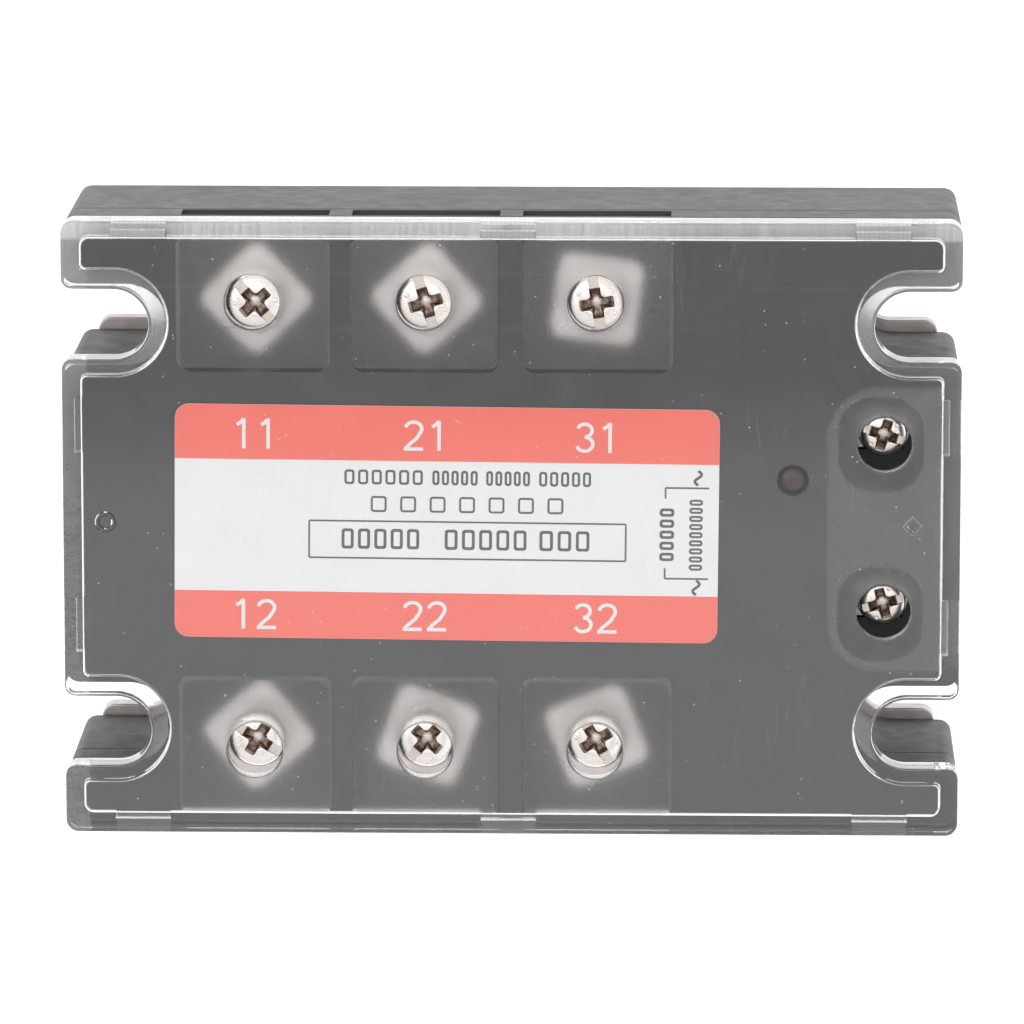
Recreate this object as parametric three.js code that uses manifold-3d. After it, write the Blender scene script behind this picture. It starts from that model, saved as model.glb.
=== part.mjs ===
// Three-phase solid state relay, lying on its metal base plate.
// Millimetres. X runs along the row of output terminals, Y across the case, +Z up through the clear cover.
// The origin is the centre of the base plate's back face.
import * as THREE from "three";
import { mergeVertices } from "three/addons/utils/BufferGeometryUtils.js";
import Module from "manifold-3d";

// Overall sizes
const caseLength = 105;
const caseWidth = 72.8;
const caseHeight = 33;
const cornerRadius = 1.5;
const gap = 0.3;
const stackGap = 0.15;

// Heights of the layers
const plateThickness = 3;
const seamHeight = 22.45;
const lowerTop = seamHeight - gap / 2;
const upperBottom = seamHeight + gap / 2;
const skirtBottom = 28.6;
const stepTop = skirtBottom - gap;
const deckTop = 30.6;
const deckThickness = 2;
const coverUnderside = 31.1;

// Walls
const caseWall = 2.2;
const coverWall = 2.1;
const skirtClearance = 0.25;

// Mounting slots: each row gives the slot's centre line, half width and inner end
const plateSlot = { y: 23.77, half: 3.45, end: 41.4 };
const caseSlot = { y: 23.75, half: 4.8, end: 40.3 };
const coverSlot = { y: 24.2, half: 4.15, end: 42.3 };
const plateInset = 2.05;

// Output terminals: three along X, one row on each long side
const phasePitch = 20;
const firstPhaseX = -30.1;
const phaseX = [0, 1, 2].map((i) => firstPhaseX + i * phasePitch);
const rows = [
  { side: 1, letter: "top" },
  { side: -1, letter: "bottom" },
];
const outputY = 26.1;
const bayHalfWidth = 8.67;
const bayInnerEnd = 18.4;
const bayCornerRadius = 1.5;
const bayEntry = { sillTop: 23.3, lintelBottom: 27.7 };

// Input terminals: two on the short side at +X
const inputX = 43.65;
const inputY = 10.1;
const inputSides = [
  { side: 1, name: "plus" },
  { side: -1, name: "minus" },
];
const inputBay = { left: 38.2, right: 48.2, halfWidth: 5.6, corner: 4 };
const inputEntryHalf = 4.2;
const inputEntryTop = 27.5;

// Driver holes in the cover sit a little off the screws
const driverHoleRadius = 3.2;
const coverShift = { x: -0.05, y: 0.3 };
const outputHoleY = 26.63;
const inputHoleY = 9.97;

// One clamp screw set for each kind of terminal
const outputSet = {
  padTop: 22.8, padThickness: 1.5, padHalfX: 3, padLow: -2.9, padHigh: 3.5,
  clampSize: 10.3, clampThickness: 1.2, clampCorner: 1.6, clampHole: 2.3,
  springOuter: 3.9, springInner: 2.2, springThickness: 1,
  headRadius: 3.5, headHeight: 2.6, shankRadius: 1.9, shankLength: 10,
  slotWidth: 1.2, slotDepth: 0.7, crossReach: 2, crossWidth: 1.3, crossDepth: 1.7,
};
const inputSet = {
  padTop: 20.8, padThickness: 1.2, padHalfX: 2.2, padLow: -1.9, padHigh: 2.1,
  clampSize: 6.1, clampThickness: 0.8, clampCorner: 3.04, clampHole: 1.8,
  springOuter: 2.75, springInner: 1.6, springThickness: 0.7,
  headRadius: 2.7, headHeight: 2, shankRadius: 1.4, shankLength: 6,
  slotWidth: 0.95, slotDepth: 0.55, crossReach: 1.8, crossWidth: 1.1, crossDepth: 1.3,
};

// How far each clamp and each screw is turned, in degrees
const outputTurns = {
  top: [{ clamp: 45, screw: -48 }, { clamp: 42, screw: -73 }, { clamp: -8, screw: -81 }],
  bottom: [{ clamp: 40, screw: -32 }, { clamp: -20, screw: 48 }, { clamp: 22, screw: -59 }],
};
const inputTurns = { plus: { clamp: 12, screw: -17 }, minus: { clamp: -9, screw: 15 } };

// Shelves of the lower housing that carry the terminals
const outputShelf = { left: -41, right: 20.8, inner: 17, bottom: 18.5 };
const inputShelf = { left: 36.2, halfWidth: 16.5, bottom: 17, top: 20.3 };
const legThickness = 1.2;
const footLength = 6;
const footBottom = 5.2;

// Label, lamp and circuit
const label = { x: -7.62, y: 0.5, length: 63.75, width: 27.8, corner: 1.7, thickness: 0.15, turn: -0.5 };
const lamp = { x: 32.9, y: 5.8, radius: 1.5, hole: 1.85, bodyBottom: 25.5, leadSpacing: 2.54 };
const board = { left: -37, right: 48, halfWidth: 15, bottom: 14, thickness: 1.6 };
const boardTop = board.bottom + board.thickness;
const baseScrew = { x: 46.3, y: 12, headRadius: 2.8, headDepth: 1.5, shankRadius: 1.4, tip: 8 };
const bossHalf = 4;
const bossTop = 11.5;

// Snap ribs on the case and the grooves that take them in the cover
const rib = { length: 6, proud: 0.8, low: 28.9, high: 30.1 };
const ribPlacesX = [-43.5, -0.4, 43.3];
const ribPlacesY = [12, -11.8];
const grooveClearance = 0.25;

// Finishes
const finishes = {
  blackPlastic: { color: 0x4a4a4b, roughness: 0.6, metalness: 0 },
  clearPlastic: { color: 0xe8ecee, roughness: 0.15, metalness: 0, transparent: true, opacity: 0.35 },
  plateMetal: { color: 0xb0a8a6, roughness: 0.45, metalness: 1 },
  nickel: { color: 0xcfc6bf, roughness: 0.3, metalness: 1 },
  springSteel: { color: 0xa8a4a0, roughness: 0.35, metalness: 1 },
  tinnedCopper: { color: 0xbfb2a6, roughness: 0.4, metalness: 1 },
  labelFilm: { color: 0xf07a6c, roughness: 0.5, metalness: 0 },
  lampLens: { color: 0x3a2438, roughness: 0.25, metalness: 0 },
  boardGreen: { color: 0x2e6b3f, roughness: 0.6, metalness: 0 },
  ceramic: { color: 0xe9e6df, roughness: 0.7, metalness: 0 },
  chipBlack: { color: 0x202022, roughness: 0.5, metalness: 0 },
  resistorBlue: { color: 0x6f9fb8, roughness: 0.5, metalness: 0 },
  capacitorRed: { color: 0x8c3226, roughness: 0.45, metalness: 0 },
  capacitorYellow: { color: 0xd9b23a, roughness: 0.4, metalness: 0 },
  capacitorSleeve: { color: 0x22304c, roughness: 0.4, metalness: 0 },
};
const materials = Object.fromEntries(
  Object.entries(finishes).map(([name, look]) => [name, new THREE.MeshStandardMaterial(look)]),
);

const wasm = await Module();
wasm.setup();
const relay = new THREE.Group();

// Booleans: a closed geometry becomes a solid, and a solid becomes a geometry again
function solid(geometry) {
  const bare = geometry.clone();
  bare.deleteAttribute("normal");
  bare.deleteAttribute("uv");
  const merged = mergeVertices(bare);
  const vertProperties = merged.attributes.position.array;
  const triVerts = new Uint32Array(merged.index.array);
  return new wasm.Manifold(new wasm.Mesh({ numProp: 3, vertProperties, triVerts }));
}

function surface(body) {
  const { vertProperties, triVerts } = body.getMesh();
  const geometry = new THREE.BufferGeometry();
  geometry.setAttribute("position", new THREE.BufferAttribute(vertProperties, 3));
  geometry.setIndex(new THREE.BufferAttribute(triVerts, 1));
  geometry.computeVertexNormals();
  return geometry;
}

function cut(body, ...tools) {
  return tools.reduce((left, tool) => left.subtract(tool), body);
}

function join(...bodies) {
  return bodies.reduce((whole, piece) => whole.add(piece));
}

function place(name, body, finish) {
  const mesh = new THREE.Mesh(surface(body), materials[finish]);
  mesh.name = name;
  relay.add(mesh);
  return mesh;
}

// Outlines: each corner is [x, y, radius], listed anticlockwise
function roundedOutline(corners) {
  const points = [];
  const addPoint = (point) => {
    const last = points[points.length - 1];
    if (!last || last.distanceTo(point) > 1e-4) points.push(point);
  };
  corners.forEach(([x, y, radius], i) => {
    const corner = new THREE.Vector2(x, y);
    if (!radius) {
      addPoint(corner);
      return;
    }
    const previous = corners[(i + corners.length - 1) % corners.length];
    const next = corners[(i + 1) % corners.length];
    const back = new THREE.Vector2(previous[0] - x, previous[1] - y).normalize();
    const ahead = new THREE.Vector2(next[0] - x, next[1] - y).normalize();
    const half = Math.acos(THREE.MathUtils.clamp(back.dot(ahead), -1, 1)) / 2;
    const middle = back.clone().add(ahead).normalize();
    const centre = corner.clone().addScaledVector(middle, radius / Math.sin(half));
    const start = corner.clone().addScaledVector(back, radius / Math.tan(half)).sub(centre);
    const turn = (Math.PI - 2 * half) * -Math.sign(back.cross(ahead));
    const steps = Math.max(3, Math.ceil(radius * 1.2));
    for (let step = 0; step <= steps; step += 1) {
      const swept = start.clone().rotateAround(new THREE.Vector2(), (turn * step) / steps);
      addPoint(swept.add(centre));
    }
  });
  return points;
}

function rectangleOutline(left, right, front, back, radius) {
  return roundedOutline([
    [left, front, radius],
    [right, front, radius],
    [right, back, radius],
    [left, back, radius],
  ]);
}

// A rectangle with an open slot at both ends of each long side
function slottedOutline(halfX, halfY, slot, corner, mouth) {
  const quarter = [
    [halfX, slot.y - slot.half, mouth],
    [slot.end, slot.y - slot.half, slot.half],
    [slot.end, slot.y + slot.half, slot.half],
    [halfX, slot.y + slot.half, mouth],
    [halfX, halfY, corner],
  ];
  const mirrored = (signX, signY) => quarter.map(([x, y, r]) => [signX * x, signY * y, r]);
  return roundedOutline([
    ...mirrored(1, 1),
    ...mirrored(-1, 1).reverse(),
    ...mirrored(-1, -1),
    ...mirrored(1, -1).reverse(),
  ]);
}

function widerSlot(slot, extra) {
  return { y: slot.y, half: slot.half + extra, end: slot.end - extra };
}

// Plain solids
function prism(outline, bottom, top) {
  const shape = new THREE.Shape(outline);
  const geometry = new THREE.ExtrudeGeometry(shape, { depth: top - bottom, bevelEnabled: false });
  return solid(geometry.translate(0, 0, bottom));
}

function block(left, right, front, back, bottom, top) {
  const geometry = new THREE.BoxGeometry(right - left, back - front, top - bottom);
  geometry.translate((left + right) / 2, (front + back) / 2, (bottom + top) / 2);
  return solid(geometry);
}

function drum(x, y, radius, bottom, top, sides = 20) {
  const geometry = new THREE.CylinderGeometry(radius, radius, top - bottom, sides);
  geometry.rotateX(Math.PI / 2).translate(x, y, (bottom + top) / 2);
  return solid(geometry);
}

function turned(profile, sides) {
  const points = profile.map(([radius, height]) => new THREE.Vector2(radius, height));
  return solid(new THREE.LatheGeometry(points, sides).rotateX(Math.PI / 2));
}

// A block across one side of the case, given by its distances from the X axis
function sideBlock(side, left, right, near, far, bottom, top) {
  const [front, back] = side > 0 ? [near, far] : [-far, -near];
  return block(left, right, front, back, bottom, top);
}

// Base plate with four open slots and four countersunk holes
function basePlate() {
  const halfX = caseLength / 2 - plateInset;
  const halfY = caseWidth / 2 - plateInset;
  const outline = slottedOutline(halfX, halfY, plateSlot, cornerRadius, cornerRadius);
  let plate = prism(outline, 0, plateThickness);
  for (const signX of [-1, 1]) {
    for (const signY of [-1, 1]) {
      const sink = turned(
        [
          [0, -1],
          [baseScrew.headRadius + gap + 1, -1],
          [baseScrew.shankRadius + gap, baseScrew.headDepth + gap],
          [baseScrew.shankRadius + gap, plateThickness + 1],
          [0, plateThickness + 1],
        ],
        16,
      );
      plate = cut(plate, sink.translate([signX * baseScrew.x, signY * baseScrew.y, 0]));
    }
  }
  place("base_plate", plate, "plateMetal");
}

// Countersunk screws that hold the base plate to the lower housing
function baseScrews() {
  const profile = [
    [0, 0.1],
    [baseScrew.headRadius, 0.1],
    [baseScrew.shankRadius, baseScrew.headDepth],
    [baseScrew.shankRadius, baseScrew.tip],
    [0, baseScrew.tip],
  ];
  const driverCross = join(block(-1.5, 1.5, -0.4, 0.4, -1, 0.9), block(-0.4, 0.4, -1.5, 1.5, -1, 0.9));
  let number = 1;
  for (const signX of [-1, 1]) {
    for (const signY of [-1, 1]) {
      const screw = place("base_screw_" + number, cut(turned(profile, 14), driverCross), "springSteel");
      screw.position.set(signX * baseScrew.x, signY * baseScrew.y, 0);
      number += 1;
    }
  }
}

// Lower housing: an open frame with terminal shelves along both long sides and one short side
function lowerHousing() {
  const bottom = plateThickness + gap;
  const halfX = caseLength / 2;
  const halfY = caseWidth / 2;
  const shelfTop = lowerTop;
  const outer = slottedOutline(halfX, halfY, caseSlot, cornerRadius, cornerRadius);
  const inner = slottedOutline(halfX - caseWall, halfY - caseWall, widerSlot(caseSlot, caseWall), 1, 0);
  let housing = cut(prism(outer, bottom, lowerTop), prism(inner, bottom - 1, lowerTop + 1));
  const wallReach = 0.5;
  for (const { side } of rows) {
    const far = halfY - caseWall + wallReach;
    const { left, right, inner: near } = outputShelf;
    housing = join(housing, sideBlock(side, left, right, near, far, outputShelf.bottom, shelfTop));
  }
  housing = join(
    housing,
    block(
      inputShelf.left, halfX - caseWall + wallReach,
      -inputShelf.halfWidth, inputShelf.halfWidth,
      inputShelf.bottom, inputShelf.top,
    ),
  );
  for (const signX of [-1, 1]) {
    for (const signY of [-1, 1]) {
      const x = signX * baseScrew.x;
      const y = signY * baseScrew.y;
      const reach = halfX - caseWall + wallReach;
      const [left, right] = signX > 0 ? [x - bossHalf, reach] : [-reach, x + bossHalf];
      const boss = block(left, right, y - bossHalf, y + bossHalf, bottom, bossTop);
      const pilot = drum(x, y, baseScrew.shankRadius + gap, bottom - 1, baseScrew.tip + 1, 12);
      housing = cut(join(housing, boss), pilot);
    }
  }
  for (const { side } of rows) {
    for (const x of phaseX) {
      housing = cut(housing, ...outputPockets(x, side, shelfTop));
    }
  }
  for (const { side } of inputSides) {
    housing = cut(housing, ...inputPockets(side * inputY));
  }
  place("lower_housing", housing, "blackPlastic");
}

// Pocket for a terminal's pad, slot for its leg and hole for its screw
function outputPockets(x, side, shelfTop) {
  const set = outputSet;
  const padBottom = set.padTop - set.padThickness - gap;
  const near = outputY + set.padLow - legThickness - gap;
  const halfX = set.padHalfX + gap;
  const padFar = outputY + set.padHigh + gap;
  const pad = sideBlock(side, x - halfX, x + halfX, near, padFar, padBottom, shelfTop + 1);
  const legFar = outputY + set.padLow + gap;
  const leg = sideBlock(side, x - halfX, x + halfX, near, legFar, outputShelf.bottom - 1, shelfTop);
  const hole = drum(x, side * outputY, set.shankRadius + 2 * gap, outputShelf.bottom - 1, shelfTop, 16);
  return [pad, leg, hole];
}

function inputPockets(y) {
  const set = inputSet;
  const padBottom = set.padTop - set.padThickness - gap;
  const halfY = set.padHalfX + gap;
  const near = inputX + set.padLow - legThickness - gap;
  const top = inputShelf.top;
  const pad = block(near, inputX + set.padHigh + gap, y - halfY, y + halfY, padBottom, top + 1);
  const legFar = inputX + set.padLow + gap;
  const leg = block(near, legFar, y - halfY, y + halfY, inputShelf.bottom - 1, top);
  const hole = drum(inputX, y, set.shankRadius + 2 * gap, inputShelf.bottom - 1, top, 14);
  return [pad, leg, hole];
}

// Upper housing: a deck with three open bays on each long side and two input wells
function upperHousing() {
  const halfX = caseLength / 2;
  const halfY = caseWidth / 2;
  const step = coverWall + skirtClearance;
  const flush = slottedOutline(halfX, halfY, caseSlot, cornerRadius, cornerRadius);
  const stepped = slottedOutline(halfX - step, halfY - step, widerSlot(coverSlot, step), 1, 0.6);
  let housing = join(prism(flush, upperBottom, stepTop), prism(stepped, stepTop - 0.5, deckTop));
  const ribs = snapBlocks(rib.length / 2, step + 0.5, step - rib.proud, rib.low, rib.high);
  housing = join(housing, ...ribs);
  const innerWall = 2;
  const hollow = block(
    -halfX + 2 * caseWall, inputBay.left - innerWall,
    -bayInnerEnd + innerWall, bayInnerEnd - innerWall,
    upperBottom - 1, deckTop - deckThickness,
  );
  housing = cut(housing, hollow);
  for (const { side } of rows) {
    for (const x of phaseX) {
      const outline = rectangleOutline(
        x - bayHalfWidth, x + bayHalfWidth, bayInnerEnd, halfY + 5, bayCornerRadius,
      );
      const bay = prism(outline, upperBottom - 1, deckTop + 1);
      housing = cut(housing, side > 0 ? bay : bay.rotate([0, 0, 180]).translate([2 * x, 0, 0]));
      housing = join(housing, ...bayBars(x, side));
    }
  }
  for (const { side } of inputSides) {
    const y = side * inputY;
    const half = inputBay.halfWidth;
    const outline = rectangleOutline(inputBay.left, inputBay.right, y - half, y + half, inputBay.corner);
    const entry = block(
      inputBay.right - 1, halfX + 1, y - inputEntryHalf, y + inputEntryHalf,
      upperBottom - 1, inputEntryTop,
    );
    housing = cut(housing, prism(outline, upperBottom - 1, deckTop + 1), entry);
  }
  housing = cut(housing, drum(lamp.x, lamp.y, lamp.hole, upperBottom, deckTop + 1, 16));
  place("upper_housing", housing, "blackPlastic");
}

// Sill and lintel of a bay's wire entry, in the line of the case's outer wall
function bayBars(x, side) {
  const reach = bayHalfWidth + 0.5;
  const near = caseWidth / 2 - caseWall;
  const far = caseWidth / 2;
  const sill = sideBlock(side, x - reach, x + reach, near, far, upperBottom, bayEntry.sillTop);
  const lintel = sideBlock(side, x - reach, x + reach, near, far, bayEntry.lintelBottom, stepTop);
  return [sill, lintel];
}

// Blocks along the edge of the case where it snaps into the cover, between two depths from its outer face
function snapBlocks(halfLength, deep, shallow, low, high) {
  const blocks = [];
  for (const side of [-1, 1]) {
    for (const x of ribPlacesX) {
      const far = caseWidth / 2 - shallow;
      blocks.push(sideBlock(side, x - halfLength, x + halfLength, caseWidth / 2 - deep, far, low, high));
    }
    for (const y of ribPlacesY) {
      const near = caseLength / 2 - deep;
      const far = caseLength / 2 - shallow;
      const [left, right] = side > 0 ? [near, far] : [-far, -near];
      blocks.push(block(left, right, y - halfLength, y + halfLength, low, high));
    }
  }
  return blocks;
}

// Clear cover: a shallow tray with driver holes, whose skirt wraps the stepped edge of the case
function clearCover() {
  const halfX = caseLength / 2;
  const halfY = caseWidth / 2;
  const outer = slottedOutline(halfX, halfY, coverSlot, cornerRadius, 1.2);
  const inner = slottedOutline(halfX - coverWall, halfY - coverWall, widerSlot(coverSlot, coverWall), 1, 0.6);
  const groove = rib.proud + grooveClearance - skirtClearance;
  const grooves = snapBlocks(
    rib.length / 2 + grooveClearance, coverWall + 0.5, coverWall - groove,
    skirtBottom - 1, rib.high + grooveClearance,
  );
  const cover = cut(
    prism(outer, skirtBottom, caseHeight),
    prism(inner, skirtBottom - 1, coverUnderside),
    ...grooves,
    ...driverHoles().map(([x, y]) => drum(x, y, driverHoleRadius, skirtBottom, caseHeight + 1, 16)),
  );
  place("clear_cover", cover, "clearPlastic");
}

function driverHoles() {
  const outputs = rows.flatMap(({ side }) => phaseX.map((x) => [x, side * outputHoleY]));
  const inputs = inputSides.map(({ side }) => [inputX, side * inputHoleY]);
  return [...outputs, ...inputs].map(([x, y]) => [x + coverShift.x, y + coverShift.y]);
}

// Printed label on the deck, stuck on a little askew
function frontLabel() {
  const bottom = deckTop + 0.05;
  const halfLength = label.length / 2;
  const halfWidth = label.width / 2;
  const outline = rectangleOutline(-halfLength, halfLength, -halfWidth, halfWidth, label.corner);
  const mesh = place("label", prism(outline, bottom, bottom + label.thickness), "labelFilm");
  mesh.position.set(label.x, label.y, 0);
  mesh.rotation.z = THREE.MathUtils.degToRad(label.turn);
}

// Lamp: a round lens in the deck on two leads that stand on the board
function statusLamp() {
  const dome = turned(
    [
      [0, lamp.bodyBottom],
      [lamp.radius, lamp.bodyBottom],
      [lamp.radius, deckTop - 0.5],
      [lamp.radius * 0.75, deckTop - 0.1],
      [0, deckTop + 0.1],
    ],
    16,
  );
  const leads = [-1, 1].map((side) => {
    const x = (side * lamp.leadSpacing) / 2;
    return block(x - 0.25, x + 0.25, -0.25, 0.25, boardTop + gap, lamp.bodyBottom + 0.5);
  });
  const flange = block(-1.55, 1.55, -0.5, 0.5, lamp.bodyBottom - 0.3, lamp.bodyBottom + 0.3);
  place("status_led", join(dome, ...leads, flange), "lampLens").position.set(lamp.x, lamp.y, 0);
}

// A terminal's side profile in [distance from the middle of the pad, height], swept across its width
function terminalStrip(profile, halfWidth) {
  const outline = profile.map(([along, height]) => new THREE.Vector2(along, height));
  const shape = new THREE.Shape(outline);
  const geometry = new THREE.ExtrudeGeometry(shape, { depth: 2 * halfWidth, bevelEnabled: false });
  return solid(geometry.translate(0, 0, -halfWidth).rotateX(Math.PI / 2));
}

// Output terminal: a tapped pad, a leg and a foot that reaches the thyristor pair
function outputTerminal(name, x, side) {
  const set = outputSet;
  const legInner = set.padLow - legThickness;
  const padBottom = set.padTop - set.padThickness;
  const profile = [
    [set.padHigh, padBottom],
    [set.padHigh, set.padTop],
    [legInner, set.padTop],
    [legInner, footBottom + legThickness],
    [legInner - footLength + legThickness, footBottom + legThickness],
    [legInner - footLength + legThickness, footBottom],
    [set.padLow, footBottom],
    [set.padLow, padBottom],
  ];
  const hole = drum(0, 0, set.shankRadius + gap, padBottom - 1, set.padTop + 1, 16);
  const mesh = place(name, cut(terminalStrip(profile, set.padHalfX), hole), "tinnedCopper");
  mesh.position.set(x, side * outputY, 0);
  mesh.rotation.z = side * (Math.PI / 2);
}

// Input terminal: a tapped pad on a leg that stands on the board
function inputTerminal(name, y) {
  const set = inputSet;
  const padBottom = set.padTop - set.padThickness;
  const profile = [
    [set.padHigh, padBottom],
    [set.padHigh, set.padTop],
    [set.padLow - legThickness, set.padTop],
    [set.padLow - legThickness, boardTop + gap],
    [set.padLow, boardTop + gap],
    [set.padLow, padBottom],
  ];
  const hole = drum(0, 0, set.shankRadius + gap, padBottom - 1, set.padTop + 1, 14);
  const mesh = place(name, cut(terminalStrip(profile, set.padHalfX), hole), "tinnedCopper");
  mesh.position.set(inputX, y, 0);
}

// Clamp plate under a terminal screw: square on the output side, round on the input side
function clampPlate(name, set, x, y, degrees) {
  const half = set.clampSize / 2;
  const bottom = set.padTop + stackGap;
  const outline = rectangleOutline(-half, half, -half, half, set.clampCorner);
  const plate = prism(outline, bottom, bottom + set.clampThickness);
  const hole = drum(0, 0, set.clampHole, bottom - 1, bottom + 3, 12);
  const mesh = place(name, cut(plate, hole), "nickel");
  mesh.position.set(x, y, 0);
  mesh.rotation.z = THREE.MathUtils.degToRad(degrees);
}

// Split spring washer between the clamp plate and the screw head
function springWasher(name, set, x, y, degrees) {
  const bottom = set.padTop + set.clampThickness + 2 * stackGap;
  const steps = 12;
  const splitAngle = 0.12;
  const points = [];
  for (const [radius, forward] of [[set.springOuter, true], [set.springInner, false]]) {
    for (let i = 0; i <= steps; i += 1) {
      const part = forward ? i / steps : 1 - i / steps;
      const angle = splitAngle + part * (2 * Math.PI - 2 * splitAngle);
      points.push(new THREE.Vector2(radius * Math.cos(angle), radius * Math.sin(angle)));
    }
  }
  const mesh = place(name, prism(points, bottom, bottom + set.springThickness), "springSteel");
  mesh.position.set(x, y, 0);
  mesh.rotation.z = THREE.MathUtils.degToRad(degrees - 60);
}

// Pan head screw with a slot and a cross recess
function clampScrew(name, set, x, y, degrees) {
  const base = set.padTop + set.clampThickness + set.springThickness + 3 * stackGap;
  const top = base + set.headHeight;
  const tip = base - set.shankLength;
  const blank = turned(
    [
      [0, tip],
      [set.shankRadius * 0.7, tip],
      [set.shankRadius, tip + 0.8],
      [set.shankRadius, base],
      [set.headRadius, base],
      [set.headRadius, base + set.headHeight * 0.5],
      [set.headRadius * 0.85, top - set.headHeight * 0.14],
      [set.headRadius * 0.5, top],
      [0, top],
    ],
    14,
  );
  const slot = block(
    -set.headRadius - 1, set.headRadius + 1, -set.slotWidth / 2, set.slotWidth / 2,
    top - set.slotDepth, top + 1,
  );
  const arms = [
    [set.crossReach, set.crossWidth / 2],
    [set.crossWidth / 2, set.crossReach],
  ].map(([reachX, reachY]) => block(-reachX, reachX, -reachY, reachY, top - set.crossDepth, top + 1));
  const mesh = place(name, cut(blank, slot, ...arms), "nickel");
  mesh.position.set(x, y, 0);
  mesh.rotation.z = THREE.MathUtils.degToRad(degrees);
}

// All the pieces of every terminal
function terminals() {
  for (const { side, letter } of rows) {
    phaseX.forEach((x, i) => {
      const name = letter + "_" + (i + 1);
      const turns = outputTurns[letter][i];
      const y = side * outputY;
      outputTerminal("output_terminal_" + name, x, side);
      clampPlate("output_clamp_" + name, outputSet, x, y, turns.clamp);
      springWasher("output_spring_washer_" + name, outputSet, x, y, turns.screw);
      clampScrew("output_screw_" + name, outputSet, x, y, turns.screw);
    });
  }
  for (const { side, name } of inputSides) {
    const y = side * inputY;
    inputTerminal("input_terminal_" + name, y);
    clampPlate("input_clamp_" + name, inputSet, inputX, y, inputTurns[name].clamp);
    springWasher("input_spring_washer_" + name, inputSet, inputX, y, inputTurns[name].screw);
    clampScrew("input_screw_" + name, inputSet, inputX, y, inputTurns[name].screw);
  }
}

// Thyristor pairs: ceramic tiles on the base plate, each with two chips
function thyristorPairs() {
  phaseX.forEach((x, i) => {
    const tileBottom = plateThickness + gap;
    const tileTop = tileBottom + 1;
    const tile = block(x - 7.5, x + 7.5, -21.5, 21.5, tileBottom, tileTop);
    const chips = [-7, 7].map((y) => block(x - 4.5, x + 4.5, y - 4.5, y + 4.5, tileTop - 0.2, tileTop + 0.6));
    place("thyristor_pair_" + (i + 1), join(tile, ...chips), "ceramic");
  });
}

// Circuit board and what stands on it
function circuit() {
  const { left, right, halfWidth, bottom } = board;
  place("circuit_board", block(left, right, -halfWidth, halfWidth, bottom, boardTop), "boardGreen");
  const seat = boardTop + gap;
  phaseX.forEach((x, i) => {
    const number = i + 1;
    const package6 = rectangleOutline(x - 7.8, x - 1.2, -4.3, 4.3, 0.4);
    place("optocoupler_" + number, prism(package6, seat, seat + 3.5), "chipBlack");
    const resistor = new THREE.CylinderGeometry(2.2, 2.2, 11, 14).translate(x + 4, 0, seat + 2.4);
    place("snubber_resistor_" + number, solid(resistor), "resistorBlue");
    const film = rectangleOutline(x - 6.5, x + 6.5, 7.5, 12.5, 0.8);
    place("snubber_capacitor_" + number, prism(film, seat, seat + 9.5), "capacitorRed");
  });
  const dropper = rectangleOutline(21.5, 29.5, -13.5, 4.5, 0.8);
  place("dropper_capacitor", prism(dropper, seat, seat + 11), "capacitorYellow");
  place("filter_capacitor", drum(25.5, 10.3, 3.15, seat, seat + 11, 18), "capacitorSleeve");
  const bridge = rectangleOutline(31.2, 35.6, -10.5, -3.5, 0.4);
  place("bridge_rectifier", prism(bridge, seat, seat + 3.4), "chipBlack");
}

basePlate();
baseScrews();
lowerHousing();
upperHousing();
clearCover();
frontLabel();
statusLamp();
terminals();
thyristorPairs();
circuit();

export default relay;
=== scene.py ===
import math

import bmesh
import bpy
from mathutils import Matrix, Vector
from mathutils.geometry import tessellate_polygon


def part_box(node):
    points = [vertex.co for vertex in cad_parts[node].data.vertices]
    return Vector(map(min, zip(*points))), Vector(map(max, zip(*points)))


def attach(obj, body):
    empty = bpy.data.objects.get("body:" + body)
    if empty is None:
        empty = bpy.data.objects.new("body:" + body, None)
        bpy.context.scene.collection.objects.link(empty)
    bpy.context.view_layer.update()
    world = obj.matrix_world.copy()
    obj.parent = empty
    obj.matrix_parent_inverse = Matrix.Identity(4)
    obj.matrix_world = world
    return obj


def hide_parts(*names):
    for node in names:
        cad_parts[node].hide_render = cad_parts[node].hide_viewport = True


# Three-phase solid state relay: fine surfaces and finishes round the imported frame.
# Lengths are in millimetres until a mesh is made, in the frame's own axes.
# +Z goes up through the clear cover.

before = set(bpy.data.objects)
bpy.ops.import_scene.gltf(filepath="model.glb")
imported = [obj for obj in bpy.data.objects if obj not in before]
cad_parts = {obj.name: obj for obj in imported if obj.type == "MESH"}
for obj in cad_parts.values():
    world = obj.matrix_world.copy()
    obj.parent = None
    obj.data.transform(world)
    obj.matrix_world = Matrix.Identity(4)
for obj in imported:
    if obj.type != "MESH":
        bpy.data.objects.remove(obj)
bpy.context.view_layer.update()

MM = 0.001


def low_mm(node):
    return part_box(node)[0] / MM


def high_mm(node):
    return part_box(node)[1] / MM


def middle_mm(node):
    return (low_mm(node) + high_mm(node)) / 2


# Layers and outlines of the case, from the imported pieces
HALF_X = high_mm("lower_housing").x
HALF_Y = high_mm("lower_housing").y
PLATE_TOP = high_mm("base_plate").z
LOWER_BOTTOM = low_mm("lower_housing").z
LOWER_TOP = high_mm("lower_housing").z
UPPER_BOTTOM = low_mm("upper_housing").z
DECK_TOP = high_mm("upper_housing").z
SKIRT_BOTTOM = low_mm("clear_cover").z
COVER_TOP = high_mm("clear_cover").z
STEP_TOP = SKIRT_BOTTOM - 0.3
COVER_THICKNESS = 1.9
COVER_UNDERSIDE = COVER_TOP - COVER_THICKNESS
CORNER = 1.5
CASE_WALL = 2.2
COVER_WALL = 2.1
STEP = COVER_WALL + 0.25
SMALLEST = 0.02

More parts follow.
